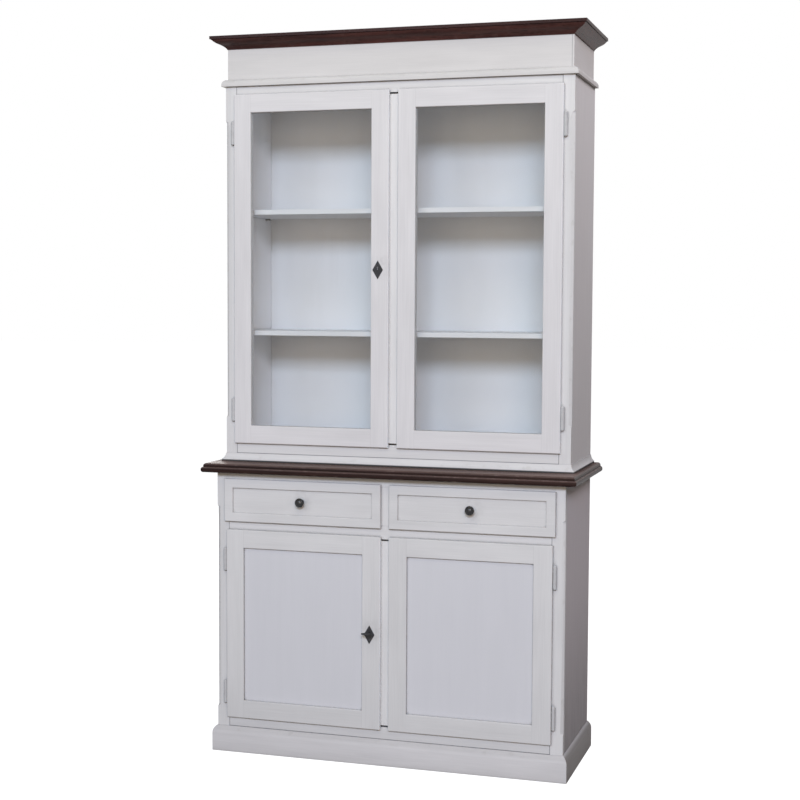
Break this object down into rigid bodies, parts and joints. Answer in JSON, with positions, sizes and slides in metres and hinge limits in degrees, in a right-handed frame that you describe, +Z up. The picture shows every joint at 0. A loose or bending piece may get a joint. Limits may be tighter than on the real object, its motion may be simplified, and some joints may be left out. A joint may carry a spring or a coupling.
{
  "type": "dresser with hutch",
  "caption": "White-painted dresser: a glazed hutch with shelves and a dark cornice on a base with drawers over panelled doors and a dark worktop.",
  "frame": {"origin": "on the floor, below the middle of the overall box, which the worktop sets in plan", "axes": "+Z is up, the front with the doors and drawers faces -Y, and +X is to the right of someone facing the front"},
  "size_m": [1.167, 0.4522, 2.2065],
  "materials": {
    "white_paint": "brushed satin paint",
    "interior_paint": "matt paint",
    "dark_stained_wood": "stained and waxed",
    "bare_wood": "planed",
    "painted_hinge": "painted over",
    "steel": "plain",
    "dark_bronze": "aged",
    "dark_iron": "blackened",
    "glass": "clear"
  },
  "bodies": {
    "carcass": {"base_side_left": "white_paint", "base_side_right": "white_paint", "base_floor": "interior_paint", "base_back": "interior_paint", "base_shelf": "interior_paint", "base_stiles": "white_paint", "base_top_rail": "white_paint", "base_mid_rail": "white_paint", "base_bottom_rail": "white_paint", "drawer_divider": "white_paint", "base_door_post": "white_paint", "drawer_runners": "bare_wood", "plinth": "white_paint", "worktop": "dark_stained_wood", "hutch_side_left": "white_paint", "hutch_side_right": "white_paint", "hutch_floor": "interior_paint", "hutch_ceiling": "interior_paint", "hutch_back": "interior_paint", "hutch_shelves": "interior_paint", "hutch_stiles": "white_paint", "hutch_top_rail": "white_paint", "hutch_bottom_rail": "white_paint", "hutch_door_post": "white_paint", "hutch_foot_moulding": "white_paint", "frieze": "white_paint", "frieze_bead": "white_paint", "cornice": "dark_stained_wood", "shelf_pegs": "steel", "frame_hinge_halves": "painted_hinge"},
    "drawer_left": {"drawer_front_left": "white_paint", "drawer_box_left": "bare_wood", "drawer_bottom_left": "bare_wood", "drawer_knob_left": "dark_bronze"},
    "drawer_right": {"drawer_front_right": "white_paint", "drawer_box_right": "bare_wood", "drawer_bottom_right": "bare_wood", "drawer_knob_right": "dark_bronze"},
    "base_door_left": {"base_door_frame_left": "white_paint", "base_door_panel_left": "white_paint", "base_door_hinge_halves_left": "painted_hinge", "base_lock_case": "steel", "base_escutcheon": "dark_iron"},
    "hutch_door_left": {"hutch_door_frame_left": "white_paint", "hutch_door_glass_left": "glass", "hutch_door_glazing_beads_left": "white_paint", "hutch_door_hinge_halves_left": "painted_hinge", "hutch_lock_case": "steel", "hutch_escutcheon": "dark_iron"},
    "base_door_right": {"base_door_frame_right": "white_paint", "base_door_panel_right": "white_paint", "base_door_hinge_halves_right": "painted_hinge"},
    "hutch_door_right": {"hutch_door_frame_right": "white_paint", "hutch_door_glass_right": "glass", "hutch_door_glazing_beads_right": "white_paint", "hutch_door_hinge_halves_right": "painted_hinge"},
    "base_key": {"base_key": "dark_iron"},
    "base_bolt": {"base_lock_bolt": "steel"},
    "hutch_bolt": {"hutch_lock_bolt": "steel"}
  },
  "joints": [
    {"name": "drawer_left_slide", "type": "slide", "parent": "carcass", "child": "drawer_left", "axis": [0, -1, 0], "range_m": [0, 0.28]},
    {"name": "drawer_right_slide", "type": "slide", "parent": "carcass", "child": "drawer_right", "axis": [0, -1, 0], "range_m": [0, 0.28]},
    {"name": "base_door_left_hinge", "type": "hinge", "parent": "carcass", "child": "base_door_left", "pos_m": [-0.517, -0.1855, 0.3975], "axis": [0, 0, -1], "range_deg": [0, 165]},
    {"name": "base_door_right_hinge", "type": "hinge", "parent": "carcass", "child": "base_door_right", "pos_m": [0.517, -0.1855, 0.3975], "axis": [0, 0, 1], "range_deg": [0, 165]},
    {"name": "hutch_door_left_hinge", "type": "hinge", "parent": "carcass", "child": "hutch_door_left", "pos_m": [-0.52, -0.1135, 1.489], "axis": [0, 0, -1], "range_deg": [0, 165]},
    {"name": "hutch_door_right_hinge", "type": "hinge", "parent": "carcass", "child": "hutch_door_right", "pos_m": [0.52, -0.1135, 1.489], "axis": [0, 0, 1], "range_deg": [0, 165]},
    {"name": "base_key_turn", "type": "hinge", "parent": "base_door_left", "child": "base_key", "pos_m": [-0.046, -0.1915, 0.4059], "axis": [0, 1, 0], "range_deg": [0, 90]},
    {"name": "base_bolt_slide", "type": "slide", "parent": "base_door_left", "child": "base_bolt", "axis": [1, 0, 0], "range_m": [0, 0.01]},
    {"name": "hutch_bolt_slide", "type": "slide", "parent": "hutch_door_left", "child": "hutch_bolt", "axis": [1, 0, 0], "range_m": [0, 0.01]}
  ],
  "couplings": [
    {"joint": "base_key_turn", "follows": "base_bolt_slide", "rad_per_m": 157.08}
  ]
}
